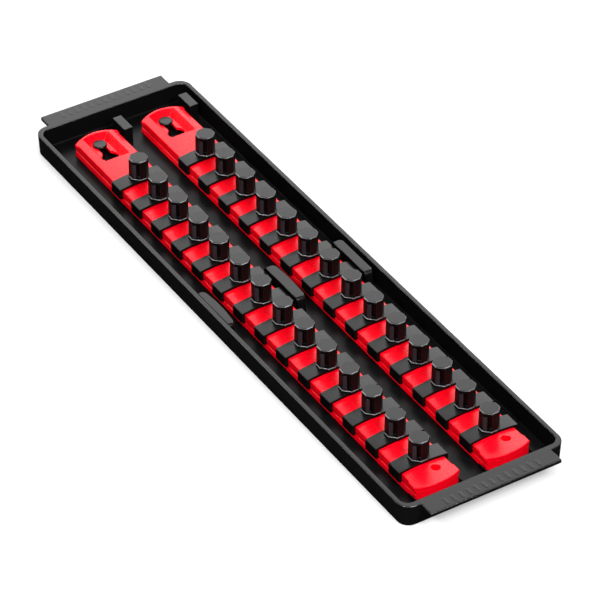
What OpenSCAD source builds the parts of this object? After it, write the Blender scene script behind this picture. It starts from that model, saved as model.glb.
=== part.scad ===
// Socket organizer tray for a drawer, for half-inch drive sockets.
// One moulded tray carries two rails. Each rail drops over a headed stud, slides
// home by its keyhole and carries a row of post clips that slide along it.
// Millimetres. X across the tray, Y along it with the studs at +Y, Z up.
// The origin is the middle of the tray's underside.

/* [Tray] */
// Length of the tray over its end walls, without the finger flanges
body_l = 460; // [430:1:520]
// Width of the tray over its rims
body_w = 119.2; // [118:0.1:140]
// Height of the tray from its underside to its rim
body_h = 16; // [15:0.5:24]
// Thickness of the two long walls
side_wall = 3.1; // [2:0.1:3.4]
// Thickness of the two end walls
end_wall = 4.3; // [2.5:0.1:6]
// Thickness of the floor
floor_t = 2.2; // [1.8:0.1:4]
// Radius of the corners at the rim, seen from above
corner_r = 9; // [6:0.5:14]
// How far each wall leans in between its rim and its foot, for the mould
wall_lean = 0.8; // [0.2:0.1:1.2]

/* [Finger flanges] */
// Width of each flange along the end wall
flange_w = 95.3; // [60:0.1:98]
// How far each flange stands out from the end wall
flange_out = 11.3; // [6:0.1:20]
// Thickness of each flange
flange_t = 2.5; // [1.5:0.1:4]
// Radius of the flange's outer corners
flange_r = 0.8; // [0.5:0.1:4]
// Number of plain grip bars on each flange
grip_bars = 13; // [3:1:15]
// Distance from each side of the flange to the middle of the outermost bar
grip_side = 14; // [6:0.5:20]
// Distance from the end wall, and from the flange's outer edge, to the bars
grip_inset = 2.7; // [1.5:0.1:3]
// Width of a grip bar
grip_w = 2; // [1:0.1:3]
// How high the grip bars stand
grip_h = 0.3; // [0.2:0.1:1]

/* [Blocks and guides in the tray] */
// Width of the locating blocks beside the far ends of the rails
block_w = 6.6; // [4:0.1:8]
// Length of the locating blocks
block_l = 16.4; // [8:0.1:24]
// Width of the three guides at mid length
guide_w = 6.6; // [4:0.1:8]
// Length of the guides along their top
guide_l = 40; // [20:1:80]
// Where the middle of the guides lies along the tray
guide_y = -2; // [-20:1:20]
// How far the ends of the guides run out at the floor
guide_foot = 3.2; // [1:0.1:6]
// How far the rounded side of the middle guide bulges
guide_bulge = 1.2; // [0.5:0.1:2]
// Width of the guide on the left wall, at its ends
wall_guide_w = 4.5; // [3:0.1:7]
// How far the rounded side of that guide bulges
wall_guide_bulge = 1.8; // [0.5:0.1:2.4]
// How far blocks and guides stay below the rim
block_drop = 0.2; // [0.1:0.1:1]
// Gap between the clips and the guides on their right
guide_gap = 0.5; // [0.3:0.1:1]
// Gap between a rail and the locating block beside it
block_gap = 1.1; // [0.4:0.1:1.6]
// Height of the thin ribs that flank the nose of a rail
nose_rib_h = 2; // [1:0.1:4]
// Thickness of those ribs
nose_rib_t = 0.9; // [0.6:0.1:1.5]
// Length of those ribs
nose_rib_l = 7; // [4:0.5:12]
// Gap between a nose rib and the foot of its rail
nose_rib_gap = 0.4; // [0.3:0.1:1]

/* [Rails] */
// Distance between the centre lines of the two rails
rail_pitch = 51.8; // [51:0.1:54]
// How far the pair of rails lies to the right of the tray's middle
rail_shift = 2; // [0:0.1:2.4]
// Free space between the nose of a rail and the near end wall
nose_gap = 9.3; // [4:0.1:20]
// Width of the rail where the clips run
rail_w = 31.2; // [29:0.1:32]
// How far the foot of the rail stands out on each side
foot_out = 0.8; // [0.5:0.1:1]
// Height of the foot
foot_h = 3.2; // [2.4:0.1:4.8]
// How far the end lips stand out on each side
lip_out = 0.9; // [0.6:0.1:1.2]
// Thickness of the end lips at their outer edge
lip_t = 2.5; // [1.5:0.1:2.8]
// Length of the near end lips, measured from the corner of the nose
near_lip = 6.4; // [3:0.1:7]
// Length of the far end lips, measured from the corner of the end
far_lip = 2.6; // [1:0.1:6]
// How far the foot ends short of the corner of the nose
foot_short = 3.6; // [1:0.1:6]
// Height of the rail along its upper edges
edge_h = 9.3; // [8.5:0.1:11]
// Radius of the crowned top, seen from the end
crown_r = 100; // [60:1:200]
// How far the rounded ends bulge
end_bulge = 4.6; // [2:0.1:8]
// Depth of the grooves that the clips hook into
groove_d = 0.8; // [0.6:0.1:1.2]
// Height of those grooves
groove_h = 1.5; // [1.3:0.1:1.8]
// Thickness of the skin over the hollow underside
rail_skin = 2.2; // [1.5:0.1:3]
// Thickness of the side walls round the hollow underside
rail_wall = 2.4; // [2:0.1:4]
// Thickness of the cross ribs in the underside
cross_rib = 1.8; // [1:0.1:3]
// Diameter of the round hole in the nose
nose_hole_d = 6; // [3:0.1:8]
// How far the hole lies from the tip of the nose
nose_hole_in = 13.2; // [10:0.1:16]
// How far the hole lies to the right of the rail's centre line
nose_hole_dx = 4.6; // [-5:0.1:5]

/* [Keyhole and stud] */
// Width of the pocket in the far end of the rail, at its top
pocket_w = 19.6; // [18:0.1:22]
// How far each side of the pocket leans in between its top and its floor
side_lean = 3.5; // [2.5:0.1:3.6]
// How far both ends of the pocket lean in
end_lean = 2.4; // [1.5:0.1:3]
// How much of the pocket's floor is left in front of the keyhole
pocket_web = 0.9; // [0.3:0.1:10]
// Thickness of the wall between the pocket and the rail's far end
pocket_wall = 2; // [1.5:0.1:3]
// Height of the pocket's floor above the underside of the rail
web_top = 5; // [4:0.1:5.5]
// Thickness of the pocket's floor, which holds the keyhole
web_t = 1.8; // [1.2:0.1:2.4]
// Diameter of the wide end of the keyhole
key_hole_d = 12; // [11.8:0.1:12.4]
// How far the rail slides between its release and its home place
key_travel = 13.5; // [12:0.1:16]
// How much longer the keyhole is than that
key_spare = 1; // [0.2:0.1:1.1]
// Free space between the stud's head and the top edge of the pocket's far wall
head_room = 2.7; // [2.5:0.1:4]
// Diameter of the stud's head
head_d = 9.6; // [8:0.1:9.8]
// Thickness of the stud's head
head_t = 1.5; // [1:0.1:4]
// Chamfer round the top of the head
head_chamfer = 0.5; // [0.3:0.1:0.8]
// Diameter of the stud's neck
neck_d = 5.4; // [4.4:0.1:6]
// Diameter of the spigot pushed into the floor
spigot_d = 3.8; // [3:0.1:4.2]
// How far the end of the spigot stays above the underside
spigot_short = 0.4; // [0.2:0.1:1]

/* [Clips] */
// Number of clips on each rail
clips_per_rail = 14; // [4:1:14]
// Distance from the rail's far tip to the first clip
first_clip_in = 62.6; // [55:0.1:80]
// Distance from the tip of the nose to the last clip
last_clip_in = 25.2; // [25:0.1:40]
// Length of a clip's saddle along the rail
saddle_l = 11.6; // [10:0.1:13]
// Thickness of the saddle
saddle_t = 2; // [1.6:0.1:3]
// Thickness of the legs that wrap round the rail
leg_t = 2.25; // [1.4:0.05:2.4]
// How far the hooks of the legs reach into the groove
hook_in = 0.5; // [0.3:0.1:0.6]
// Height of the hooks
hook_h = 0.9; // [0.7:0.1:1]
// Width of the drive post over its flats
post_w = 12.5; // [11:0.1:12.7]
// How much each corner of the post is cut off along a flat
post_cut = 3.8; // [3.4:0.1:4.2]
// Height of the post above the middle of the saddle
post_h = 15.5; // [12:0.1:24]
// Chamfer round the top of the post
post_chamfer = 0.5; // [0.3:0.1:1.2]
// Height of the plinth at the foot of the post
plinth_h = 1.4; // [0.6:0.1:2]
// How far the plinth stands out round the post
plinth_out = 0.45; // [0.2:0.05:0.6]
// Thickness of the head above the window in the post
post_head_t = 2.4; // [1.6:0.1:4]
// Width of the window in the post's front corner
window_w = 5.8; // [4:0.1:6]
// Depth of the window
window_d = 2.9; // [2:0.1:4]
// Width of the spring tongue in the window
tongue_w = 2.7; // [1.5:0.1:3]
// Thickness of the tongue
tongue_t = 1.1; // [0.8:0.1:1.6]
// How far the tongue stays behind the post's cut corner
tongue_in = 0.4; // [0.3:0.1:1]
// How far the free end of the tongue stays below the head
tongue_gap = 0.9; // [0.5:0.1:2]

/* [Fits] */
// Sliding clearance between a clip and its rail
clip_fit = 0.15; // [0.1:0.05:0.3]
// Clearance between the stud's head and the web it holds down
head_fit = 0.3; // [0.2:0.05:0.6]
// Clearance on each side of the stud's neck in the keyhole slot
slot_fit = 0.4; // [0.3:0.05:0.8]
// Radial clearance of the spigot in the floor
spigot_fit = 0.03; // [0.02:0.01:0.1]
// Gap that stays between the far wall's foot and a rail slid fully back
end_play = 0.4; // [0.3:0.1:2]

/* [Hidden] */
$fn = 48;
SIDES = ["left", "right"];

// Cutting tools run this far past the faces they cut
over = 0.5;
// Thin slices that a hull is stretched between
slice = 0.01;

foot_w = rail_w + 2 * foot_out;
lip_w = rail_w + 2 * lip_out;
near_tip = -body_l / 2 + end_wall + nose_gap;
far_tip = body_l / 2 - end_wall - wall_lean - end_play - key_travel;
rail_len = far_tip - near_tip;
rail_mid = (far_tip + near_tip) / 2;
near_corner = near_tip + end_bulge;
far_corner = far_tip - end_bulge;
end_r = arc_r(lip_w, end_bulge);
stud_y = far_tip - pocket_wall - head_room - head_d / 2;
key_l = key_travel + key_spare;
pocket_near = stud_y - key_l - key_hole_d / 2 - pocket_web - end_lean;
slot_w = neck_d + 2 * slot_fit;
// The crown's axis lies on the rail's centre line; the crown meets the edges at edge_h
crown_drop = crown_r - sqrt(pow(crown_r, 2) - pow(rail_w / 2, 2));
crown_top = edge_h + crown_drop;
crown_axis = crown_top - crown_r;
saddle_w = rail_w + 2 * (clip_fit + leg_t);
saddle_top = crown_top + clip_fit + saddle_t;
leg_bottom = foot_h + 2 * clip_fit;
clip_pitch = (rail_len - first_clip_in - last_clip_in) / (clips_per_rail - 1);
post_top = saddle_top + post_h;
plinth_top = saddle_top + plinth_h;
window_top = post_top - post_head_t;
// Distance from the post's axis to its cut corners
corner_face = (post_w - post_cut) / sqrt(2);
block_top = body_h - block_drop;
inner_w = body_w - 2 * side_wall;
inner_l = body_l - 2 * end_wall;
inner_r = corner_r - side_wall;
// From a rail's centre line to the guide and to the block beside it
guide_side = saddle_w / 2 + guide_gap;
block_side = lip_w / 2 + block_gap;
grip_pitch = (flange_w - 2 * grip_side) / (grip_bars - 1);
grip_l = flange_out - 2 * grip_inset;

BLACK = "#151516";
RED = "#d80f1e";

function clip_name(side, i) = str("clip_", side, "_", i);
function side_sign(side) = side == "left" ? -1 : 1;
function rail_x(side) = rail_shift + side_sign(side) * rail_pitch / 2;
function clip_y(i) = far_tip - first_clip_in - (i - 1) * clip_pitch;
// Radius of the arc that bulges by b over a chord of width w
function arc_r(w, b) = (pow(w / 2, 2) + pow(b, 2)) / (2 * b);

// ---------------------------------------------------------------- outlines

module rounded_rect(w, l, r) {
    square([w - 2 * r, l], center = true);
    square([w, l - 2 * r], center = true);
    for (sx = [-1, 1], sy = [-1, 1])
        translate([sx * (w / 2 - r), sy * (l / 2 - r)])
            circle(r);
}

// Square of width w whose four corners are cut by c along each side
module cut_square(w, c) {
    h = w / 2;
    f = h - c;
    polygon([[h, -f], [h, f], [f, h], [-f, h], [-h, f], [-h, -f], [-f, -h], [f, -h]]);
}

// Rail outline of width w between y0 and y1, rounded at the rail's own ends
module rail_outline(w, y0, y1) {
    intersection() {
        translate([-w / 2, y0])
            square([w, y1 - y0]);
        long_round(end_r);
    }
}

// Long shape with round ends of radius r that touch the rail's tips
module long_round(r) {
    translate([-r, near_tip + end_r])
        square([2 * r, rail_len - 2 * end_r]);
    for (y = [near_tip + end_r, far_tip - end_r])
        translate([0, y])
            circle(r, $fn = 120);
}

// ---------------------------------------------------------------- tray

// Block that narrows by lean on every side towards its foot, as moulded walls do
module leaning_block(w, l, r, h, lean) {
    hull() {
        linear_extrude(slice)
            rounded_rect(w - 2 * lean, l - 2 * lean, r - lean);
        translate([0, 0, h - slice])
            linear_extrude(slice)
                rounded_rect(w, l, r);
    }
}

module cavity() {
    translate([0, 0, floor_t])
        leaning_block(inner_w, inner_l, inner_r, body_h - floor_t + slice, wall_lean);
}

// Finger flange at the far end, level with the rim
module finger_flange() {
    root = end_wall / 2;
    translate([0, body_l / 2 + (flange_out - root) / 2, body_h - flange_t])
        linear_extrude(flange_t)
            rounded_rect(flange_w, flange_out + root, flange_r);
    for (i = [0 : grip_bars - 1])
        translate([(i - (grip_bars - 1) / 2) * grip_pitch, body_l / 2 + flange_out / 2, body_h - over])
            linear_extrude(over + grip_h)
                rounded_rect(grip_w, grip_l, grip_w / 2 - slice);
}

// Block with its left face at x, from the floor to just under the rim
module locating_block(x) {
    translate([x, far_corner - block_l / 2, floor_t - over])
        cube([block_w, block_l, block_top - floor_t + over]);
}

// Guide of width w with its left face at x. Its ends run out at the floor, and its
// right side bulges by b.
module guide(x, w, b) {
    half = guide_l / 2;
    foot = half + guide_foot;
    base = floor_t - over;
    translate([x, guide_y, 0])
        intersection() {
            rotate([90, 0, 90])
                linear_extrude(w + b)
                    polygon([[-foot, base], [foot, base], [half, block_top], [-half, block_top]]);
            linear_extrude(body_h)
                if (b > 0)
                    translate([w + b - arc_r(guide_l, b), 0])
                        circle(arc_r(guide_l, b), $fn = 180);
                else
                    translate([0, -foot])
                        square([w, 2 * foot]);
        }
}

// Thin ribs on both sides of the nose of a rail
module nose_ribs(side) {
    reach = foot_w / 2 + nose_rib_gap;
    for (x = [-reach - nose_rib_t, reach])
        translate([rail_x(side) + x, near_corner + (foot_short - nose_rib_l) / 2, floor_t - over])
            cube([nose_rib_t, nose_rib_l, nose_rib_h + over]);
}

module tray() {
    wall_foot = -inner_w / 2 - side_wall / 2;
    color(BLACK)
    difference() {
        union() {
            difference() {
                union() {
                    leaning_block(body_w, body_l, corner_r, body_h, wall_lean);
                    finger_flange();
                    mirror([0, 1, 0])
                        finger_flange();
                }
                cavity();
            }
            guide(wall_foot, wall_guide_w + side_wall / 2, wall_guide_bulge);
            guide(rail_x("left") + guide_side, guide_w, guide_bulge);
            guide(rail_x("right") + guide_side, guide_w, 0);
            for (side = SIDES) {
                locating_block(rail_x(side) + block_side);
                nose_ribs(side);
            }
        }
        for (side = SIDES)
            translate([rail_x(side), stud_y, -over])
                cylinder(d = spigot_d + 2 * spigot_fit, h = floor_t + 2 * over);
    }
}

// ---------------------------------------------------------------- studs

module stud(side) {
    head_z = floor_t + web_top + head_fit;
    color(BLACK)
    translate([rail_x(side), stud_y, 0])
        rotate_extrude()
            polygon([
                [0, spigot_short],
                [spigot_d / 2, spigot_short],
                [spigot_d / 2, floor_t],
                [neck_d / 2, floor_t],
                [neck_d / 2, head_z],
                [head_d / 2, head_z],
                [head_d / 2, head_z + head_t - head_chamfer],
                [head_d / 2 - head_chamfer, head_z + head_t],
                [0, head_z + head_t]
            ]);
}

// ---------------------------------------------------------------- rails
// A rail is drawn standing on z = 0 with its centre line on x = 0.

// Narrow slot that ends round the stud, and the wide hole that passes its head
module keyhole() {
    depth = web_t + 2 * over;
    translate([0, stud_y, web_top - web_t - over]) {
        cylinder(d = slot_w, h = depth);
        translate([-slot_w / 2, -key_l, 0])
            cube([slot_w, key_l, depth]);
        translate([0, -key_l, 0])
            cylinder(d = key_hole_d, h = depth);
    }
}

// Outline of the pocket, moved in by side and by end
module pocket_outline(side, end) {
    intersection() {
        translate([-pocket_w / 2 + side, pocket_near + end])
            square([pocket_w - 2 * side, far_tip - pocket_near]);
        long_round(end_r - pocket_wall - end);
    }
}

// Pocket whose four walls lean in towards its floor
module pocket() {
    hull() {
        translate([0, 0, web_top])
            linear_extrude(slice)
                pocket_outline(side_lean, end_lean);
        translate([0, 0, crown_top])
            linear_extrude(over)
                pocket_outline(0, 0);
    }
}

// Hollow of the underside from y0 to y1, up to the given height
module cell(y0, y1, height) {
    cell_w = rail_w - 2 * (groove_d + rail_wall);
    translate([-cell_w / 2, y0, -over])
        cube([cell_w, y1 - y0, height + over]);
}

// One cell for each clip, and a lower one under the pocket's floor
module hollow_cells() {
    near = near_tip + nose_hole_in + nose_hole_d / 2 + rail_wall;
    far = pocket_near - rail_wall;
    cell_pitch = (far - near + cross_rib) / clips_per_rail;
    for (i = [0 : clips_per_rail - 1])
        cell(near + i * cell_pitch, near + (i + 1) * cell_pitch - cross_rib, edge_h - rail_skin);
    cell(pocket_near, far_corner, web_top - web_t);
}

module rail_blank() {
    linear_extrude(foot_h)
        rail_outline(foot_w, near_corner + foot_short, far_tip);
    intersection() {
        union() {
            linear_extrude(crown_top)
                rail_outline(rail_w, near_tip, far_tip);
            translate([0, 0, edge_h - lip_t])
                linear_extrude(lip_t + crown_drop) {
                    rail_outline(lip_w, near_tip, near_corner + near_lip);
                    rail_outline(lip_w, far_corner - far_lip, far_tip);
                }
        }
        translate([0, rail_mid, crown_axis])
            rotate([90, 0, 0])
                cylinder(r = crown_r, h = rail_len + 2 * over, center = true, $fn = 180);
    }
}

module rail(side) {
    color(RED)
    translate([rail_x(side), 0, floor_t])
        difference() {
            rail_blank();
            pocket();
            keyhole();
            hollow_cells();
            for (x = [-rail_w / 2 - over, rail_w / 2 - groove_d])
                translate([x, near_tip - over, foot_h])
                    cube([groove_d + over, rail_len + 2 * over, groove_h]);
            translate([nose_hole_dx, near_tip + nose_hole_in, -over])
                cylinder(d = nose_hole_d, h = crown_top + 2 * over);
        }
}

// ---------------------------------------------------------------- clips
// A clip is drawn on a rail that stands on z = 0, with its post over the origin.

// Upright profile from x = -w / 2 to w / 2, from z = bottom to a crown of radius r
module crowned_bar(w, l, bottom, r) {
    rotate([90, 0, 0])
        linear_extrude(l, center = true)
            intersection() {
                translate([-w / 2, bottom])
                    square([w, saddle_top - bottom]);
                translate([0, crown_axis])
                    circle(r, $fn = 180);
            }
}

module hooks() {
    inside = rail_w / 2 + clip_fit;
    for (x = [-inside - leg_t, inside - hook_in])
        translate([x, -saddle_l / 2, leg_bottom])
            cube([leg_t + hook_in, saddle_l, hook_h]);
}

// Drive post: a square bar with cut corners on a slightly wider plinth
module post() {
    linear_extrude(plinth_top)
        cut_square(post_w + 2 * plinth_out, post_cut + plinth_out);
    linear_extrude(post_top - post_chamfer)
        cut_square(post_w, post_cut);
    hull() {
        translate([0, 0, post_top - post_chamfer - slice])
            linear_extrude(slice)
                cut_square(post_w, post_cut);
        translate([0, 0, post_top - slice])
            linear_extrude(slice)
                cut_square(post_w - 2 * post_chamfer, post_cut);
    }
}

// Window in the post's front left corner, from the plinth to the head
module window() {
    rotate(-45)
        translate([-window_w / 2, -corner_face - over, plinth_top])
            cube([window_w, window_d + over, window_top - plinth_top]);
}

// Spring tongue that stands in the window and presses on the socket
module tongue() {
    rotate(-45)
        translate([-window_w / 2, tongue_in - corner_face, plinth_top - over])
            cube([tongue_w, tongue_t, window_top - plinth_top - tongue_gap + over]);
}

module clip(side, i) {
    color(BLACK)
    translate([rail_x(side), clip_y(i), floor_t]) {
        difference() {
            union() {
                crowned_bar(saddle_w, saddle_l, leg_bottom, crown_r + clip_fit + saddle_t);
                post();
            }
            window();
            crowned_bar(rail_w + 2 * clip_fit, 2 * post_w, 0, crown_r + clip_fit);
        }
        hooks();
        tongue();
    }
}

tray();
for (side = SIDES) {
    rail(side);
    stud(side);
    for (i = [1 : clips_per_rail])
        clip(side, i);
}
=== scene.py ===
import math

import bmesh
import bpy
from mathutils import Matrix, Vector

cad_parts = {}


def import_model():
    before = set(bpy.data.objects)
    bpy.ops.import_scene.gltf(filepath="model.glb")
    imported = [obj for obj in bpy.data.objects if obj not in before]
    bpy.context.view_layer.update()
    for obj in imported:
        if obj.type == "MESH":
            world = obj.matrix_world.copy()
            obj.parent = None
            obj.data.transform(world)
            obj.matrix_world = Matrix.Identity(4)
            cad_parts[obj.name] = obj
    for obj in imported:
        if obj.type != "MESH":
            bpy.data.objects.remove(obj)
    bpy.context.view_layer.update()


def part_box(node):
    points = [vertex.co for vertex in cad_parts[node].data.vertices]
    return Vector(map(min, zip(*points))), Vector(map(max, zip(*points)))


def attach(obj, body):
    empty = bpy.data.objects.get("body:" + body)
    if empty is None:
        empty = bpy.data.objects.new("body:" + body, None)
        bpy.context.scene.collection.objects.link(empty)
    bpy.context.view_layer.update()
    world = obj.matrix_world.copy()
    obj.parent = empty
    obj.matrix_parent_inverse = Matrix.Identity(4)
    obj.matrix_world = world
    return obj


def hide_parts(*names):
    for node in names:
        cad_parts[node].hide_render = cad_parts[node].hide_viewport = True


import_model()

# Shapes are drawn in millimetres and turned to metres when their mesh is made.
MM = 0.001
SIDES = ("left", "right")
# A step too small to see
HAIR = 0.01
# How far a cutter passes the face that it opens
OVER = 1.0


# ---------------------------------------------------------------- sizes, in millimetres

def box_mm(node):
    low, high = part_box(node)
    return [v / MM for v in low], [v / MM for v in high]


tray_low, tray_high = box_mm("tray")

# Tray: one thin-walled moulding
BODY_W = tray_high[0] - tray_low[0]
FLANGE_OUT = 11.3
BODY_L = tray_high[1] - tray_low[1] - 2 * FLANGE_OUT
BODY_H = 16.0
SIDE_WALL = 3.1
END_WALL = 4.3
FLOOR = 2.2
LEAN = 0.8
CORNER_R = 9.0
RIM_ROUND = 0.55
FOOT_ROUND = 1.2
FLANGE_W = 95.3
FLANGE_T = 2.5
FLANGE_R = 0.8
FLANGE_LEAST_R = 0.3
FLANGE_LOW_ROUND = 0.4
FLANGE_TOP_ROUND = 0.7
GRIP_BARS = 13
GRIP_SIDE = 14.0
GRIP_INSET = 2.7
GRIP_W = 2.0
GRIP_H = 0.3
GRIP_ROUND = 0.25
# How far what stands on the floor reaches into it
ROOT = 0.6
BLOCK_TOP = BODY_H - 0.2
BLOCK_W = 6.6
BLOCK_L = 16.4
BLOCK_LEAN = 0.1
BLOCK_ROUND = 0.35
BLOCK_CORNER_R = 0.45
GUIDE_W = 6.6
GUIDE_L = 40.0
GUIDE_Y = -2.0
GUIDE_FOOT = 3.2
GUIDE_BULGE = 1.2
GUIDE_ROUND = 2.6
GUIDE_EDGE = 0.35
GUIDE_PLAN_ROUND = 1.4
GUIDE_TOP_IN = 9.0
WALL_GUIDE_GAP = 0.35
WALL_GUIDE_W = 4.5
WALL_GUIDE_BULGE = 1.8
GUIDE_GAP = 0.5
BLOCK_GAP = 1.1
NOSE_RIB_H = 2.0
NOSE_RIB_T = 0.9
NOSE_RIB_L = 7.0
NOSE_RIB_GAP = 0.4
NOSE_RIB_ROUND = 0.2
PIP_D = 2.6
PIP_H = 1.1
PIP_ROUND = 0.6
PIP_AHEAD = 7.6

# Rails: the same moulding twice
RAIL_X = {side: sum(box_mm(f"rail_{side}")[k][0] for k in (0, 1)) / 2 for side in SIDES}
NEAR_TIP = box_mm("rail_left")[0][1]
FAR_TIP = box_mm("rail_left")[1][1]
RAIL_W = 31.2
FOOT_OUT = 0.8
FOOT_H = 3.2
FOOT_LEAN = 0.6
FOOT_EDGE = 0.15
FOOT_EDGE_H = 0.4
LIP_OUT = 0.9
LIP_T = 2.5
EDGE_H = 9.3
CROWN_R = 100.0
END_BULGE = 4.6
NEAR_LIP = 6.4
FAR_LIP = 2.6
FOOT_SHORT = 3.6
LIP_FLARE = 2.4
GROOVE_D = 0.42
GROOVE_H = 1.5
GROOVE_SLOPE = 0.2
TOP_ROUND = 0.6
SMALL_ROUND = 0.3
# The bowed ends share their points up to this far from the centre line
BOW_X = 13.0
BOW_STEPS = 9
TURN_STEPS = 5
RAIL_SKIN = 2.2
RAIL_SIDE = 3.2
CELL_GAP = 2.4
CELL_ROUND = 0.4
CROSS_RIB = 1.8
WEB_TOP = 5.0
WEB_T = 1.8
POCKET_W = 19.6
POCKET_WALL = 2.0
POCKET_WEB = 0.9
POCKET_R = 1.2
SIDE_LEAN = 3.5
END_LEAN = 2.4
KEY_L = 14.5
KEY_HOLE_D = 12.0
SLOT_W = 6.2
HEAD_ROOM = 2.7
NOSE_HOLE_D = 6.0
NOSE_HOLE_IN = 13.2
NOSE_HOLE_DX = 4.6
NOSE_HOLE_EDGE = 0.3

# Studs
HEAD_D = 9.6
HEAD_T = 1.5
HEAD_FIT = 0.3
NECK_D = 5.4
SPIGOT_D = 3.8
SPIGOT_SHORT = 0.4
SPIGOT_FIT = 0.03
HEAD_EDGE = 0.5
HEAD_EDGE_ROUND = 0.15
STUD_ROUND = 0.2
NECK_ROUND = 0.05
INNER_ROUND = 0.02

# Clips
CLIPS = 14
CLIP_FIT = 0.15
LEG_T = 2.25
SADDLE_L = 11.6
SADDLE_T = 2.0
SADDLE_ROUND = 0.5
HOOK_IN = 0.5
HOOK_H = 0.9
CLIP_ROUND = 0.3
POST_W = 12.5
POST_CUT = 3.8
POST_H = 15.5
POST_CHAMFER = 0.5
POST_HEAD_T = 2.4
POST_DRAFT = 0.04
POST_ROUND = 0.15
PLINTH_H = 1.4
PLINTH_OUT = 0.45
WINDOW_W = 5.8
WINDOW_D = 2.9
WINDOW_R = 0.3
TONGUE_W = 2.7
TONGUE_T = 1.1
TONGUE_IN = 0.4
TONGUE_GAP = 0.9
TONGUE_R = 0.25
TONGUE_ROUND = 0.3
TONGUE_ROOT = 0.5

FOOT_W = RAIL_W + 2 * FOOT_OUT
LIP_W = RAIL_W + 2 * LIP_OUT
END_R = ((LIP_W / 2) ** 2 + END_BULGE ** 2) / (2 * END_BULGE)
NEAR_CORNER = NEAR_TIP + END_BULGE
FAR_CORNER = FAR_TIP - END_BULGE
CROWN_TOP = EDGE_H + CROWN_R - math.sqrt(CROWN_R ** 2 - (RAIL_W / 2) ** 2)
CROWN_AXIS = CROWN_TOP - CROWN_R
STUD_Y = FAR_TIP - POCKET_WALL - HEAD_ROOM - HEAD_D / 2
HOLE_Y = STUD_Y - KEY_L
POCKET_NEAR = HOLE_Y - KEY_HOLE_D / 2 - POCKET_WEB - END_LEAN
SADDLE_TOP = CROWN_TOP + CLIP_FIT + SADDLE_T
POST_TOP = SADDLE_TOP + POST_H
GUIDE_SIDE = RAIL_W / 2 + CLIP_FIT + LEG_T + GUIDE_GAP
BLOCK_SIDE = LIP_W / 2 + BLOCK_GAP
# From the post's axis to the faces between its cut corners, measured towards a corner
POST_FRONT = (POST_W - POST_CUT) / math.sqrt(2)


def crown(x, lift=0.0):
    """Height of the crowned top of a rail, or of a face that lies higher by the lift."""
    return CROWN_AXIS + math.sqrt((CROWN_R + lift) ** 2 - x ** 2)


# ---------------------------------------------------------------- outlines

def quarter(x, y, r, start, steps=4):
    """Quarter of a circle from the given angle on, counterclockwise."""
    angles = [math.radians(start + 90 * k / steps) for k in range(steps + 1)]
    return [(x + r * math.cos(a), y + r * math.sin(a)) for a in angles]


def rounded_rect(half_w, half_l, r, steps, centre=(0, 0)):
    """Outline of a rectangle with round corners, counterclockwise."""
    points = []
    for sx, sy, start in ((1, 1, 0), (-1, 1, 90), (-1, -1, 180), (1, -1, 270)):
        points += quarter(centre[0] + sx * (half_w - r), centre[1] + sy * (half_l - r), r, start, steps)
    return points


def cut_square(w, cut):
    """Outline of a square whose corners are cut off."""
    h, f = w / 2, w / 2 - cut
    return [(h, -f), (h, f), (f, h), (-f, h), (-h, f), (-h, -f), (-f, -h), (f, -h)]


def circle(r, steps, centre=(0, 0)):
    angles = [2 * math.pi * k / steps for k in range(steps)]
    return [(centre[0] + r * math.cos(a), centre[1] + r * math.sin(a)) for a in angles]


def round_corners(path, steps=4):
    """An open path of (u, v, radius) with each inner corner turned into an arc."""
    points = [Vector(path[0][:2])]
    for before, here, after in zip(path, path[1:], path[2:]):
        corner, r = Vector(here[:2]), here[2]
        back = (Vector(before[:2]) - corner).normalized()
        on = (Vector(after[:2]) - corner).normalized()
        half = back.angle(on) / 2
        reach = r / math.tan(half)
        middle = corner + (back + on).normalized() * (r / math.sin(half))
        first, last = corner + back * reach - middle, corner + on * reach - middle
        turn = first.angle_signed(last)
        for k in range(steps + 1):
            a = -turn * k / steps
            points.append(middle + Matrix.Rotation(a, 2) @ first)
    points.append(Vector(path[-1][:2]))
    return [tuple(p) for p in points]


# ---------------------------------------------------------------- meshes

def solid(name, points, faces):
    """Mesh object from points in millimetres, with its doubles merged and its faces outwards."""
    mesh = bpy.data.meshes.new(name)
    mesh.from_pydata([[c * MM for c in p] for p in points], [], faces)
    obj = bpy.data.objects.new(name, mesh)
    bpy.context.scene.collection.objects.link(obj)
    tidy(obj)
    return obj


def tidy(obj, merge=0.002):
    bm = bmesh.new()
    bm.from_mesh(obj.data)
    bmesh.ops.remove_doubles(bm, verts=bm.verts, dist=merge * MM)
    bmesh.ops.recalc_face_normals(bm, faces=bm.faces)
    bm.to_mesh(obj.data)
    bm.free()


def faces_between(rings):
    """Faces that join each ring of points to the next."""
    n = len(rings[0])
    return [[k * n + i, k * n + (i + 1) % n, (k + 1) * n + (i + 1) % n, (k + 1) * n + i]
            for k in range(len(rings) - 1) for i in range(n)]


def loft(name, rings):
    """Solid through rings of equally many points; flat caps close both ends."""
    points = [p for ring in rings for p in ring]
    n = len(rings[0])
    caps = [list(range(n)), list(range(len(points) - n, len(points)))]
    return solid(name, points, faces_between(rings) + caps)


def raised(levels):
    """Rings of points from plan outlines and their heights; a height may be a function of x."""
    return [[(x, y, z(x) if callable(z) else z) for x, y in outline] for outline, z in levels]


def stack(name, levels):
    """Solid through plan outlines at given heights."""
    return loft(name, raised(levels))


def settle(obj):
    """Applies the live modifiers of an object to its mesh."""
    bpy.context.view_layer.update()
    graph = bpy.context.evaluated_depsgraph_get()
    mesh = bpy.data.meshes.new_from_object(obj.evaluated_get(graph), depsgraph=graph)
    obj.modifiers.clear()
    obj.data = mesh
    return obj


def bevelled(obj, width, segments=2, angle=35):
    edge = obj.modifiers.new("edges", "BEVEL")
    edge.width = width * MM
    edge.segments = segments
    edge.limit_method = "ANGLE"
    edge.angle_limit = math.radians(angle)
    edge.use_clamp_overlap = False
    return settle(obj)


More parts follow.
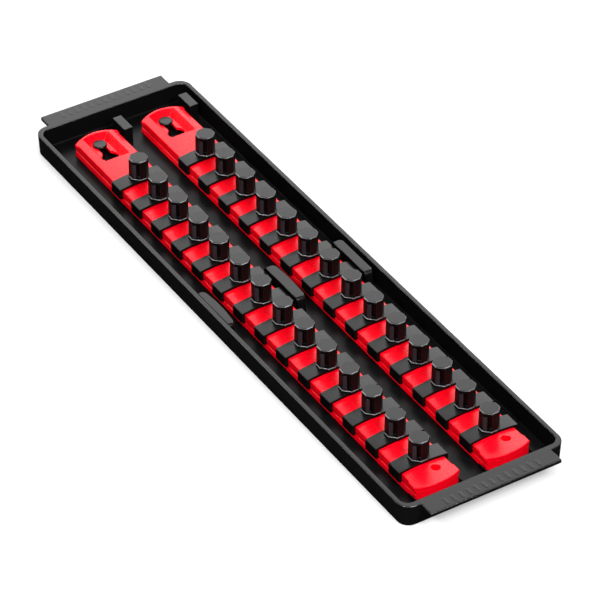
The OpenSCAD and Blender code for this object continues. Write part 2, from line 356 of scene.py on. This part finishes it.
def combine(obj, other, operation):
    cut = obj.modifiers.new("combine", "BOOLEAN")
    cut.operation = operation
    cut.solver = "MANIFOLD"
    cut.object = other
    settle(obj)
    bpy.data.objects.remove(other)
    return obj


def placed(obj, offset):
    obj.data.transform(Matrix.Translation([c * MM for c in offset]))
    return obj


def copy_of(obj, name, offset):
    twin = bpy.data.objects.new(name, obj.data.copy())
    bpy.context.scene.collection.objects.link(twin)
    return placed(twin, offset)


# ---------------------------------------------------------------- rows of bars

def add(tree, kind, inputs=(), **settings):
    """A node with its settings; each input is (socket name or number, value or another socket)."""
    node = tree.nodes.new(kind)
    for key, value in settings.items():
        setattr(node, key, value)
    for socket, value in dict(inputs).items():
        if isinstance(value, bpy.types.NodeSocket):
            tree.links.new(value, node.inputs[socket])
        else:
            node.inputs[socket].default_value = value
    return node


def row_tree():
    """Geometry nodes that set a number of equal bars in a straight row."""
    tree = bpy.data.node_groups.new("row_of_bars", "GeometryNodeTree")
    tree.interface.new_socket("Geometry", in_out="OUTPUT", socket_type="NodeSocketGeometry")
    for label, kind in (("Number of bars", "NodeSocketInt"), ("First bar", "NodeSocketVector"),
                        ("Step to the next", "NodeSocketVector"), ("Size of a bar", "NodeSocketVector"),
                        ("Plastic", "NodeSocketMaterial")):
        tree.interface.new_socket(label, in_out="INPUT", socket_type=kind)
    given = tree.nodes.new("NodeGroupInput").outputs
    places = add(tree, "GeometryNodeMeshLine",
                 {"Count": given["Number of bars"], "Start Location": given["First bar"],
                  "Offset": given["Step to the next"]})
    bar = add(tree, "GeometryNodeMeshCube", {"Size": given["Size of a bar"]})
    bars = add(tree, "GeometryNodeInstanceOnPoints",
               {"Points": places.outputs[0], "Instance": bar.outputs[0]})
    whole = add(tree, "GeometryNodeRealizeInstances", {0: bars.outputs[0]})
    dressed = add(tree, "GeometryNodeSetMaterial",
                  {"Geometry": whole.outputs[0], "Material": given["Plastic"]})
    add(tree, "NodeGroupOutput", {0: dressed.outputs[0]})
    return tree


def row(name, number, first, step, size):
    """Mesh of equal upright bars; the first one's middle, the step and the size in millimetres."""
    obj = bpy.data.objects.new(name, bpy.data.meshes.new(name))
    bpy.context.scene.collection.objects.link(obj)
    nodes = obj.modifiers.new("row", "NODES")
    nodes.node_group = ROW
    values = {"Number of bars": number, "First bar": [c * MM for c in first],
              "Step to the next": [c * MM for c in step], "Size of a bar": [c * MM for c in size],
              "Plastic": None}
    for item in ROW.interface.items_tree:
        if item.in_out == "INPUT":
            nodes[item.identifier] = values[item.name]
    return settle(obj)


# ---------------------------------------------------------------- tray

def tray_shell():
    flat = 3
    section = round_corners([
        (LEAN + flat, 0),
        (LEAN, 0, FOOT_ROUND),
        (0, BODY_H, RIM_ROUND),
        (SIDE_WALL, BODY_H, RIM_ROUND),
        (SIDE_WALL + LEAN, FLOOR, FOOT_ROUND),
        (SIDE_WALL + LEAN + flat, FLOOR)])
    levels = []
    for inset, z in section:
        inner = inset > SIDE_WALL / 2 and z > FLOOR - HAIR
        inset_y = inset + (END_WALL - SIDE_WALL if inner else 0)
        levels.append((rounded_rect(BODY_W / 2 - inset, BODY_L / 2 - inset_y, CORNER_R - inset, 12), z))
    return stack("tray", levels)


def finger_flange():
    """Flange at the far end, level with the rim."""
    root = END_WALL / 2
    half = (FLANGE_OUT + root) / 2
    middle = (0, BODY_L / 2 - root + half)
    low = BODY_H - FLANGE_T
    section = round_corners([
        (1, low), (0, low, FLANGE_LOW_ROUND), (0, BODY_H, FLANGE_TOP_ROUND), (1.2, BODY_H)])
    levels = []
    for inset, z in section:
        r = max(FLANGE_R - inset, FLANGE_LEAST_R)
        levels.append((rounded_rect(FLANGE_W / 2 - inset, half - inset, r, 6, middle), z))
    return stack("flange", levels)


def block(x, y):
    """Locating block with its left side at x and its middle at y."""
    middle = (x + BLOCK_W / 2, y)
    section = round_corners([(-BLOCK_LEAN, FLOOR - ROOT), (0, BLOCK_TOP, BLOCK_ROUND), (1.5, BLOCK_TOP)])
    levels = []
    for inset, z in section:
        outline = rounded_rect(BLOCK_W / 2 - inset, BLOCK_L / 2 - inset, BLOCK_CORNER_R, 4, middle)
        levels.append((outline, z))
    return stack("block", levels)


def guide(x, width, bulge, gap=0.0):
    """Guide with its left side at x. Its right side bulges; its ends are round at the top and run
    out at the floor. A gap parts its upper left edge from the wall that it grows from."""
    steps = 24
    levels = []
    section = round_corners([
        (-GUIDE_FOOT, FLOOR - ROOT), (0, BLOCK_TOP, GUIDE_ROUND), (GUIDE_TOP_IN, BLOCK_TOP)], 6)
    for run_in, z in section:
        half = GUIDE_L / 2 - run_in
        above = min(max(0.0, z - (BLOCK_TOP - GUIDE_EDGE)), GUIDE_EDGE)
        side_in = GUIDE_EDGE - math.sqrt(GUIDE_EDGE ** 2 - above ** 2)
        right = []
        for k in range(steps + 1):
            t = 2 * k / steps - 1
            out = bulge * (1 - (2 * half * t / GUIDE_L) ** 2)
            near_end = max(0, 1 - (1 - abs(t)) * half / GUIDE_PLAN_ROUND)
            round_end = GUIDE_PLAN_ROUND * near_end ** 2
            right.append((x + width + out - side_in - round_end, GUIDE_Y + half * t))
        left = x + side_in + gap
        levels.append((right + [(left, GUIDE_Y + half), (left, GUIDE_Y - half)], z))
    return stack("guide", levels)


def pip(x):
    """Low round pip on the floor in front of a stud."""
    shoulder = FLOOR + PIP_H - PIP_ROUND
    levels = [(circle(PIP_D / 2, 24, (x, STUD_Y - PIP_AHEAD)), FLOOR - ROOT)]
    for k in range(5):
        a = math.pi / 2 * k / 5
        ring = circle(PIP_D / 2 * math.cos(a), 24, (x, STUD_Y - PIP_AHEAD))
        levels.append((ring, shoulder + PIP_ROUND * math.sin(a)))
    return stack("pip", levels)


def tray():
    shell = tray_shell()
    far = finger_flange()
    near = copy_of(far, "flange", (0, 0, 0))
    near.data.transform(Matrix.Rotation(math.pi, 4, "Z"))
    wall_face = SIDE_WALL - BODY_W / 2
    parts = [far, near,
             guide(wall_face, WALL_GUIDE_W, WALL_GUIDE_BULGE, WALL_GUIDE_GAP),
             guide(RAIL_X["left"] + GUIDE_SIDE, GUIDE_W, GUIDE_BULGE),
             guide(RAIL_X["right"] + GUIDE_SIDE, GUIDE_W, 0)]
    grip_step = (FLANGE_W - 2 * GRIP_SIDE) / (GRIP_BARS - 1)
    for end in (-1, 1):
        first = (GRIP_SIDE - FLANGE_W / 2, end * (BODY_L + FLANGE_OUT) / 2, BODY_H)
        bars = row("grip_bars", GRIP_BARS, first, (grip_step, 0, 0),
                   (GRIP_W, FLANGE_OUT - 2 * GRIP_INSET, 2 * GRIP_H))
        parts.append(bevelled(bars, GRIP_ROUND, 2, 60))
    reach = FOOT_W / 2 + NOSE_RIB_GAP + NOSE_RIB_T / 2
    rib_y = NEAR_CORNER + FOOT_SHORT / 2
    for side in SIDES:
        x = RAIL_X[side]
        parts.append(block(x + BLOCK_SIDE, FAR_CORNER))
        parts.append(pip(x))
        ribs = row("nose_ribs", 2, (x - reach, rib_y, FLOOR + (NOSE_RIB_H - ROOT) / 2),
                   (2 * reach, 0, 0), (NOSE_RIB_T, NOSE_RIB_L, NOSE_RIB_H + ROOT))
        parts.append(bevelled(ribs, NOSE_RIB_ROUND, 2, 60))
    for part in parts:
        combine(shell, part, "UNION")
    for side in SIDES:
        hole = circle(SPIGOT_D / 2 + SPIGOT_FIT, 48, (RAIL_X[side], STUD_Y))
        combine(shell, stack("hole", [(hole, -OVER), (hole, FLOOR + OVER)]), "DIFFERENCE")
    return shell


# ---------------------------------------------------------------- rails

def rail_ring(w_near, w_mid, w_far, inset=0.0, near_turn=None):
    """Plan outline of a rail. Its half width is w_near at the nose, w_mid along its length and
    w_far at the far end, less the inset. Each turn is the pair of places along Y where the
    width starts and ends to change."""
    near_turn = near_turn or (NEAR_CORNER + NEAR_LIP, NEAR_CORNER + NEAR_LIP + LIP_FLARE)
    far_turn = (FAR_CORNER - FAR_LIP - LIP_FLARE, FAR_CORNER - FAR_LIP)
    r = END_R - inset
    near_c, far_c = NEAR_TIP + END_R, FAR_TIP - END_R
    right = []
    for k in range(BOW_STEPS + 1):
        x = w_near - inset if k == BOW_STEPS else BOW_X * k / (BOW_STEPS - 1)
        right.append((x, near_c - math.sqrt(r * r - x * x)))
    for k in range(TURN_STEPS + 1):
        a = math.pi / 2 * k / TURN_STEPS
        x = w_mid + (w_near - w_mid) * (1 - math.sin(a))
        right.append((x - inset, near_turn[0] + (near_turn[1] - near_turn[0]) * (1 - math.cos(a))))
    for k in range(TURN_STEPS + 1):
        a = math.pi / 2 * k / TURN_STEPS
        x = w_mid + (w_far - w_mid) * (1 - math.cos(a))
        right.append((x - inset, far_turn[0] + (far_turn[1] - far_turn[0]) * math.sin(a)))
    for k in range(BOW_STEPS, -1, -1):
        x = w_far - inset if k == BOW_STEPS else BOW_X * k / (BOW_STEPS - 1)
        right.append((x, far_c + math.sqrt(r * r - x * x)))
    return right + [(-x, y) for x, y in right[-2:0:-1]]


def rail_blank():
    body, foot, lip = RAIL_W / 2, FOOT_W / 2, LIP_W / 2
    foot_turn = (NEAR_CORNER + FOOT_SHORT - 2 * HAIR, NEAR_CORNER + FOOT_SHORT)
    groove = body - GROOVE_D
    levels = []
    for inset, lean, z in ((SMALL_ROUND, 0, 0),
                           (SMALL_ROUND / 3, 0, SMALL_ROUND / 3),
                           (0, 0, SMALL_ROUND),
                           (0, FOOT_LEAN, FOOT_H - FOOT_EDGE_H),
                           (0, FOOT_LEAN + FOOT_EDGE, FOOT_H - GROOVE_SLOPE / 2)):
        levels.append((rail_ring(body, foot - lean, foot - lean, inset, foot_turn), z))
    for z in (FOOT_H + GROOVE_SLOPE, FOOT_H + GROOVE_H - GROOVE_SLOPE):
        levels.append((rail_ring(groove, groove, groove), z))
    for z in (FOOT_H + GROOVE_H + GROOVE_SLOPE, EDGE_H - LIP_T - HAIR):
        levels.append((rail_ring(body, body, body), z))
    for inset, z in ((SMALL_ROUND, EDGE_H - LIP_T), (0, EDGE_H - LIP_T + SMALL_ROUND)):
        levels.append((rail_ring(lip, body, lip, inset), z))
    steps = 4
    for k in range(steps + 1):
        a = math.pi / 2 * k / steps
        inset = TOP_ROUND * (1 - math.cos(a))
        drop = TOP_ROUND * (1 - math.sin(a))
        levels.append((rail_ring(lip, body, lip, inset), lambda x, drop=drop: crown(x) - drop))
    rings = raised(levels)
    n, last = len(rings[0]), (len(rings) - 1) * len(rings[0])
    faces = faces_between(rings)
    faces.append(list(range(n)))
    # The top is ruled along Y: strips join the near bow to the far bow.
    half = n // 2
    for k in range(BOW_STEPS - 1):
        faces.append([last + k, last + k + 1, last + half - k - 1, last + half - k])
        faces.append([last + (n - k) % n, last + (n - k - 1) % n, last + half + k + 1, last + half + k])
    faces.append([last + i for i in range(BOW_STEPS - 1, half - BOW_STEPS + 2)])
    faces.append([last + i for i in range(half + BOW_STEPS - 1, n - BOW_STEPS + 2)])
    return solid("rail", [p for ring in rings for p in ring], faces)


def keyhole_outline(out=0.0):
    """Slot that ends round the stud, opening into the wide hole, moved outwards by out."""
    s, r = SLOT_W / 2 + out, KEY_HOLE_D / 2 + out
    steps = 16
    points = []
    for k in range(steps + 1):
        a = math.pi * k / steps
        points.append((s * math.cos(a), STUD_Y + s * math.sin(a)))
    start = math.pi / 2 + math.asin(s / r)
    sweep = 2 * math.pi - 2 * math.asin(s / r)
    for k in range(2 * steps + 1):
        a = start + sweep * k / (2 * steps)
        points.append((r * math.cos(a), HOLE_Y + r * math.sin(a)))
    return points


def pocket_outline(rise, out=0.0):
    """Outline of the pocket, from its floor at rise 0 to its top at rise 1, moved outwards by out:
    straight sides, round corners and a bowed far side."""
    half = POCKET_W / 2 - SIDE_LEAN * (1 - rise) + out
    near = POCKET_NEAR + END_LEAN * (1 - rise) - out
    r = END_R - POCKET_WALL - END_LEAN * (1 - rise) + out
    bow_y = FAR_TIP - END_R
    inner = half - POCKET_R
    far = bow_y + math.sqrt(r * r - inner * inner) - POCKET_R
    steps = 16
    bow = []
    for k in range(1, steps):
        x = inner * (1 - 2 * k / steps)
        bow.append((x, bow_y + math.sqrt(r * r - x * x)))
    near_side = (quarter(-inner, near + POCKET_R, POCKET_R, 180)
                 + quarter(inner, near + POCKET_R, POCKET_R, 270))
    return near_side + quarter(inner, far, POCKET_R, 0) + bow + quarter(-inner, far, POCKET_R, 90)


def underside_cells():
    """Hollows of the underside: one for each clip and a low one under the pocket."""
    width = RAIL_W - 2 * RAIL_SIDE
    near = NEAR_TIP + NOSE_HOLE_IN + NOSE_HOLE_D / 2 + CELL_GAP
    step = (POCKET_NEAR - CELL_GAP - near + CROSS_RIB) / CLIPS
    height = EDGE_H - RAIL_SKIN
    cells = row("cells", CLIPS, (0, near + (step - CROSS_RIB) / 2, (height - OVER) / 2), (0, step, 0),
                (width, step - CROSS_RIB, height + OVER))
    low = WEB_TOP - WEB_T
    last = row("cell", 1, (0, (POCKET_NEAR + FAR_CORNER) / 2, (low - OVER) / 2), (0, 0, 0),
               (width, FAR_CORNER - POCKET_NEAR, low + OVER))
    return bevelled(cells, CELL_ROUND, 2, 60), bevelled(last, CELL_ROUND, 2, 60)


def rail():
    """A rail with its nose down -Y. The soft edges of its pocket, keyhole and hole are drawn as
    rings that step out by a few tenths of a millimetre."""
    blank = rail_blank()
    pocket = stack("pocket", [
        (pocket_outline(0, -0.15), WEB_TOP),
        (pocket_outline(0, 0.05), WEB_TOP + 0.08),
        (pocket_outline(0.03, 0.1), WEB_TOP + 0.25),
        (pocket_outline(0.93), lambda x: crown(x) - 0.4),
        (pocket_outline(1, 0.2), lambda x: crown(x) + 0.02),
        (pocket_outline(1, 0.8), CROWN_TOP + OVER)])
    combine(blank, pocket, "DIFFERENCE")
    for cells in underside_cells():
        combine(blank, cells, "DIFFERENCE")
    combine(blank, stack("keyhole", [
        (keyhole_outline(), WEB_TOP - WEB_T - OVER),
        (keyhole_outline(), WEB_TOP - 0.3),
        (keyhole_outline(0.1), WEB_TOP - 0.08),
        (keyhole_outline(0.4), WEB_TOP + 0.12)]), "DIFFERENCE")
    at = (NOSE_HOLE_DX, NEAR_TIP + NOSE_HOLE_IN)
    r, edge = NOSE_HOLE_D / 2, NOSE_HOLE_EDGE
    hole = stack("hole", [
        (circle(r, 48, at), -OVER),
        (circle(r, 48, at), lambda x: crown(x) - edge),
        (circle(r + edge, 48, at), crown),
        (circle(r + 2 * edge, 48, at), lambda x: crown(x) + OVER)])
    return combine(blank, hole, "DIFFERENCE")


# ---------------------------------------------------------------- studs

def stud():
    head_z = FLOOR + WEB_TOP + HEAD_FIT
    top = head_z + HEAD_T
    profile = round_corners([
        (0, SPIGOT_SHORT),
        (SPIGOT_D / 2, SPIGOT_SHORT, STUD_ROUND),
        (SPIGOT_D / 2, FLOOR, INNER_ROUND),
        (NECK_D / 2, FLOOR, INNER_ROUND),
        (NECK_D / 2, head_z, NECK_ROUND),
        (HEAD_D / 2, head_z, STUD_ROUND),
        (HEAD_D / 2, top - HEAD_EDGE, HEAD_EDGE_ROUND),
        (HEAD_D / 2 - HEAD_EDGE, top, HEAD_EDGE_ROUND),
        (0, top)], 3)
    return stack("stud", [(circle(max(r, HAIR), 48), z) for r, z in profile])


# ---------------------------------------------------------------- clips

def saddle():
    inside = RAIL_W / 2 + CLIP_FIT
    outside = inside + LEG_T
    bottom = FOOT_H + 2 * CLIP_FIT
    corner = SADDLE_ROUND
    steps = 20
    right = []
    for k in range(steps // 2 + 1):
        x = (outside - corner) * k / (steps // 2)
        right.append((x, crown(x, CLIP_FIT + SADDLE_T)))
    shoulder = right[-1][1] - corner
    for k in range(1, 5):
        a = math.pi / 2 * k / 4
        right.append((outside - corner + corner * math.sin(a), shoulder + corner * math.cos(a)))
    right += [(outside, bottom), (inside - HOOK_IN, bottom), (inside - HOOK_IN, bottom + HOOK_H),
              (inside, bottom + HOOK_H)]
    for k in range(steps // 2, -1, -1):
        x = inside * k / (steps // 2)
        right.append((x, crown(x, CLIP_FIT)))
    profile = right + [(-x, z) for x, z in right[-2:0:-1]]
    ends = [[(x, y, z) for x, z in profile] for y in (-SADDLE_L / 2, SADDLE_L / 2)]
    return bevelled(loft("saddle", ends), CLIP_ROUND, 2, 40)


def turned(obj):
    """Turns what faces -Y to the front left corner of the post."""
    obj.data.transform(Matrix.Rotation(math.radians(-45), 4, "Z"))
    return obj


def post():
    foot = SADDLE_TOP - SADDLE_T / 2
    plinth = SADDLE_TOP + PLINTH_H
    wide, cut = POST_W + 2 * PLINTH_OUT, POST_CUT + PLINTH_OUT
    # The cut of a cut square that a chamfer has made smaller all round
    top_cut = POST_CUT - (2 - math.sqrt(2)) * POST_CHAMFER
    body = stack("post", [
        (cut_square(wide, cut), foot),
        (cut_square(wide, cut), plinth - PLINTH_OUT),
        (cut_square(POST_W + POST_DRAFT, POST_CUT), plinth),
        (cut_square(POST_W, POST_CUT), POST_TOP - POST_CHAMFER),
        (cut_square(POST_W - 2 * POST_CHAMFER, top_cut), POST_TOP)])
    top = POST_TOP - POST_HEAD_T
    reach = WINDOW_D / 2 + OVER
    opening = rounded_rect(WINDOW_W / 2, reach, WINDOW_R, 3, (0, -POST_FRONT + WINDOW_D - reach))
    window = turned(stack("window", [(opening, plinth), (opening, top)]))
    combine(body, window, "DIFFERENCE")
    bevelled(body, POST_ROUND, 2, 30)
    middle = (-WINDOW_W / 2 + TONGUE_W / 2, -POST_FRONT + TONGUE_IN + TONGUE_T / 2)
    leaf = rounded_rect(TONGUE_W / 2, TONGUE_T / 2, TONGUE_R, 3, middle)
    tongue = stack("tongue", [(leaf, plinth - TONGUE_ROOT), (leaf, top - TONGUE_GAP)])
    return combine(body, turned(bevelled(tongue, TONGUE_ROUND, 3, 60)), "UNION")


def clip():
    return combine(saddle(), post(), "UNION")


# ---------------------------------------------------------------- plastics

# Size of the faint clouds in a moulding's shade, how much paler they are, and how far the
# roughness strays to either side
CLOUD = 25.0
CLOUD_PALER = 1.15
ROUGH_SPREAD = 0.05


def colour(hex_code):
    """sRGB hex to the linear colour that a shader takes."""
    parts = [int(hex_code[i:i + 2], 16) / 255 for i in (1, 3, 5)]
    linear = [c / 12.92 if c <= 0.04045 else ((c + 0.055) / 1.055) ** 2.4 for c in parts]
    return (*linear, 1.0)


def plastic(name, hex_code, rough, specular, grain, depth):
    """Moulded plastic. The grain of the mould is a fine bump of the given size and depth in
    millimetres, and it makes the gloss a little uneven."""
    # The real grain is about 0.1 mm and too fine to show from here, so it is drawn coarser.
    base = colour(hex_code)
    paler = [c * CLOUD_PALER for c in base[:3]] + [1.0]
    material = bpy.data.materials.new(name)
    material.use_nodes = True
    tree = material.node_tree
    shader = tree.nodes["Principled BSDF"]
    place = add(tree, "ShaderNodeTexCoord").outputs["Object"]
    fine = add(tree, "ShaderNodeTexNoise",
               {"Vector": place, "Scale": 1 / (grain * MM), "Detail": 3.0, "Roughness": 0.6})
    broad = add(tree, "ShaderNodeTexNoise",
                {"Vector": place, "Scale": 1 / (CLOUD * MM), "Detail": 2.0, "Roughness": 0.5})
    both = add(tree, "ShaderNodeMath", {0: fine.outputs["Fac"], 1: broad.outputs["Fac"]},
               operation="ADD")
    gloss = add(tree, "ShaderNodeMapRange",
                {"Value": both.outputs[0], "From Min": 0.6, "From Max": 1.4,
                 "To Min": rough - ROUGH_SPREAD, "To Max": rough + ROUGH_SPREAD})
    bump = add(tree, "ShaderNodeBump", {"Height": fine.outputs["Fac"], "Distance": depth * MM})
    tree.links.new(gloss.outputs[0], shader.inputs["Roughness"])
    tree.links.new(bump.outputs[0], shader.inputs["Normal"])
    shade = add(tree, "ShaderNodeMixRGB", {0: broad.outputs["Fac"], 1: base, 2: paler})
    tree.links.new(shade.outputs[0], shader.inputs["Base Color"])
    shader.inputs["Specular IOR Level"].default_value = specular
    shader.inputs["IOR"].default_value = 1.5
    return material


# The tray is ABS, injection moulded in an etched mould. The etching leaves a fine, even satin,
# which is a soft grey where it mirrors a lamp and next to black elsewhere.
black_top = plastic("black_abs_tray", "#0a0a0b", 0.24, 0.2, 0.8, 0.004)
# Its floor is the same satin with less shine: painted shade, deep between the walls and the rails.
black_floor_painted_shade = plastic("black_abs_tray_floor_painted_shade", "#0a0a0b", 0.3, 0.07, 0.8, 0.004)
# Its upright walls are the same plastic with its shine taken away: painted shade, which keeps them plain
# matt black.
black_wall_painted_shade = plastic("black_abs_tray_wall_painted_shade", "#0b0b0c", 0.9, 0.0, 0.8, 0.01)
# Its rim's round edges are the same plastic with far more shine: a painted highlight that runs along
# them as thin bright lines.
black_edge_painted_highlight = plastic("black_abs_tray_edge_painted_highlight", "#0a0a0b", 0.22, 1.0, 0.8, 0.002)
# The rails are ABS, dyed through and injection moulded in a smooth mould: a saturated red with
# a soft pale shine on the crowned top.
red_gloss = plastic("red_abs_rail", "#f4031a", 0.28, 0.2, 1.2, 0.002)
# Clips and studs are nylon, injection moulded in a smooth mould. It looks slightly waxy, and
# the flat tops mirror a lamp as an even mid grey.
black_nylon = plastic("black_nylon_clip", "#0a0a0a", 0.28, 0.225, 0.6, 0.003)
# The clips' upright sides are the same nylon with less shine: painted shade, so that they stay dark.
nylon_side_painted_shade = plastic("black_nylon_clip_side_painted_shade", "#0b0b0b", 0.34, 0.06, 0.6, 0.003)
# The slanted edges of plinth and head get a paler, shinier copy of the nylon: a painted glint.
nylon_painted_glint = plastic("black_nylon_clip_painted_glint", "#565658", 0.26, 1.0, 0.6, 0.002)
# The spring tongue is the same nylon made paler: painted light, for the tongue lit in the post's dark
# window.
nylon_tongue_painted_light = plastic("black_nylon_clip_tongue_painted_light", "#26262a", 0.4, 0.2, 0.6, 0.003)

# The tilt of a face, as the height of its unit normal: upright below the first, and level
# above the others
UPRIGHT = 0.3
LEVEL_ON_CLIP = 0.9
LEVEL_ON_TRAY = 0.93
# How far below the rim an edge still belongs to it, and how far past the edges of plinth and
# head the painted glint reaches
RIM_ZONE = 2.9
GLINT_ZONE = 0.3
# An edge that turns by more degrees than this stays sharp to the eye
SHARP = 40


def finish(obj, materials, body, node):
    """Shades a piece smooth between its sharp edges and hangs it on its body."""
    obj.data.materials.clear()
    for material in materials:
        obj.data.materials.append(material)
    obj.data.polygons.foreach_set("use_smooth", [True] * len(obj.data.polygons))
    obj.data.set_sharp_from_angle(angle=math.radians(SHARP))
    even = obj.modifiers.new("even shading", "WEIGHTED_NORMAL")
    even.keep_sharp = True
    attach(obj, body)
    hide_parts(node)
    return obj


def tray_face(normal, centre):
    """Which plastic a face of the tray gets: 0 for the tops, 1 for the walls, in painted shade,
    2 for the floor, in painted shade, 3 for the round edges of what ends near the rim, with a
    painted highlight."""
    if abs(normal.z) < UPRIGHT:
        return 1
    if centre.z < 2 * FLOOR:
        return 2
    near_rim = centre.z > BODY_H - RIM_ZONE
    return 3 if normal.z < LEVEL_ON_TRAY and near_rim else 0


def clip_face(normal, centre):
    """Which plastic a face of a clip gets, from its normal and its place over the saddle's top:
    0 for the tops, 1 for the sides, in painted shade, 2 for the edges of plinth and head, with a
    painted glint, 3 for the tongue, in painted light."""
    forward = (-centre.x - centre.y) / math.sqrt(2)
    faces_front = (-normal.x - normal.y) / math.sqrt(2) > 0.5
    on_tongue = abs(forward - POST_FRONT + TONGUE_IN) < TONGUE_ROUND + 2 * HAIR
    if on_tongue and faces_front and centre.z > PLINTH_H:
        return 3
    if normal.z < UPRIGHT:
        return 1
    on_edge = 0 < centre.z < PLINTH_H + GLINT_ZONE or centre.z > POST_H - POST_CHAMFER - GLINT_ZONE
    return 2 if normal.z < LEVEL_ON_CLIP and on_edge else 0


# ---------------------------------------------------------------- the pieces

ROW = row_tree()
tray_piece = tray()
tray_piece.name = "tray_moulding"
# The walls and the floor get plastics in painted shade, and the rim's round edges get a painted
# highlight.
finish(tray_piece, [black_top, black_wall_painted_shade, black_floor_painted_shade, black_edge_painted_highlight], "tray", "tray")
for polygon in tray_piece.data.polygons:
    polygon.material_index = tray_face(polygon.normal, polygon.center / MM)

rail_shape = rail()
stud_shape = stud()
clip_shape = clip()
for side in SIDES:
    x = RAIL_X[side]
    piece = copy_of(rail_shape, f"rail_{side}_moulding", (x, 0, FLOOR))
    finish(piece, [red_gloss], f"rail_{side}", f"rail_{side}")
    piece = copy_of(stud_shape, f"stud_{side}_moulding", (x, STUD_Y, 0))
    finish(piece, [black_nylon], "tray", f"stud_{side}")
    for i in range(1, CLIPS + 1):
        node = f"clip_{side}_{i}"
        low, high = box_mm(node)
        y = (low[1] + high[1]) / 2
        piece = copy_of(clip_shape, f"{node}_moulding", (x, y, FLOOR))
        # The clips' sides get nylon in painted shade, the edges of plinth and head get a painted glint,
        # and the tongue gets painted light.
        finish(piece, [black_nylon, nylon_side_painted_shade, nylon_painted_glint, nylon_tongue_painted_light], node, node)
        saddle_middle = Vector((x, y, FLOOR + SADDLE_TOP))
        for polygon in piece.data.polygons:
            polygon.material_index = clip_face(polygon.normal, polygon.center / MM - saddle_middle)
for shape in (rail_shape, stud_shape, clip_shape):
    bpy.data.objects.remove(shape)


# ---------------------------------------------------------------- floor, light and camera

# Share of plain white in the paper as the camera and the gloss see it
PAPER_GLOW = 0.34


def floor():
    """Matt white paper. It shows at full white, and keeps a soft shadow of the tray."""
    size = 4.0
    mesh = bpy.data.meshes.new("floor")
    mesh.from_pydata([(-size, -size, 0), (size, -size, 0), (size, size, 0), (-size, size, 0)], [],
                     [(0, 1, 2, 3)])
    obj = bpy.data.objects.new("floor", mesh)
    bpy.context.scene.collection.objects.link(obj)
    material = bpy.data.materials.new("white_paper")
    material.use_nodes = True
    tree = material.node_tree
    shader = tree.nodes["Principled BSDF"]
    shader.inputs["Base Color"].default_value = colour("#f8f8f8")
    shader.inputs["Roughness"].default_value = 0.9
    shader.inputs["Specular IOR Level"].default_value = 0.0
    rays = add(tree, "ShaderNodeLightPath").outputs
    seen = add(tree, "ShaderNodeMath", {0: rays["Is Camera Ray"], 1: rays["Is Glossy Ray"]},
               operation="MAXIMUM")
    seen = add(tree, "ShaderNodeMath", {0: seen.outputs[0], 1: rays["Is Transmission Ray"]},
               operation="MAXIMUM")
    share = add(tree, "ShaderNodeMath", {0: seen.outputs[0], 1: PAPER_GLOW}, operation="MULTIPLY")
    white = add(tree, "ShaderNodeEmission", {"Color": (1, 1, 1, 1), "Strength": 1.0})
    both = add(tree, "ShaderNodeMixShader",
               {0: share.outputs[0], 1: shader.outputs[0], 2: white.outputs[0]})
    tree.links.new(both.outputs[0], tree.nodes["Material Output"].inputs["Surface"])
    obj.data.materials.append(material)


def lamp(name, place, width, height, radiance):
    """Soft box that faces the tray, in metres; its face has the given radiance."""
    light = bpy.data.lights.new(name, "AREA")
    light.shape = "RECTANGLE"
    light.size, light.size_y = width, height
    light.energy = radiance * math.pi * width * height
    obj = bpy.data.objects.new(name, light)
    bpy.context.scene.collection.objects.link(obj)
    obj.location = place
    obj.rotation_euler = (-Vector(place)).to_track_quat("-Z", "Y").to_euler()


def world():
    """Dim grey all round, brighter behind the far right end of the tray."""
    behind = (0.49, 0.78, 0.39)
    background = bpy.data.worlds.new("studio")
    background.use_nodes = True
    tree = background.node_tree
    direction = add(tree, "ShaderNodeTexCoord").outputs["Generated"]
    towards = add(tree, "ShaderNodeVectorMath", {0: direction, 1: behind},
                  operation="DOT_PRODUCT").outputs["Value"]
    level = add(tree, "ShaderNodeMapRange",
                {"Value": towards, "From Min": 0.6, "From Max": 1.0, "To Min": 0.12, "To Max": 0.5},
                interpolation_type="SMOOTHSTEP")
    tree.links.new(level.outputs[0], tree.nodes["Background"].inputs["Strength"])
    tree.nodes["Background"].inputs["Color"].default_value = (1, 1, 1, 1)
    bpy.context.scene.world = background


def camera():
    """The photograph's camera: where it aims, how far off it is, and its turn, tilt and roll."""
    aim = Vector((0.974, -15.269, 8.0)) * MM
    distance = 2.4292
    azimuth, elevation, roll = (math.radians(a) for a in (-32.04, 38.158, 0.068))
    focal_px, frame_px = 3772, 600
    forward = Vector((-math.sin(azimuth) * math.cos(elevation),
                      math.cos(azimuth) * math.cos(elevation), -math.sin(elevation)))
    data = bpy.data.cameras.new("camera")
    data.sensor_width = 36
    data.lens = focal_px / frame_px * data.sensor_width
    data.clip_end = 20
    obj = bpy.data.objects.new("camera", data)
    bpy.context.scene.collection.objects.link(obj)
    turn = forward.to_track_quat("-Z", "Y").to_matrix() @ Matrix.Rotation(roll, 3, "Z")
    obj.matrix_world = Matrix.Translation(aim - forward * distance) @ turn.to_4x4()
    bpy.context.scene.camera = obj


floor()
world()
lamp("back_panel", (0.685, 1.095, 0.96), 1.6, 1.1, 3.5)
lamp("top_box", (-0.1, -0.2, 1.8), 1.2, 1.2, 1.6)
lamp("key_box", (-0.93, -0.56, 1.2), 0.34, 0.34, 36.0)
lamp("front_box", (0.15, -1.1, 1.2), 0.8, 0.5, 19.0)
lamp("edge_box", (-0.99, 1.07, 0.67), 0.5, 0.4, 6.0)
camera()
bpy.context.scene.view_settings.view_transform = "Standard"
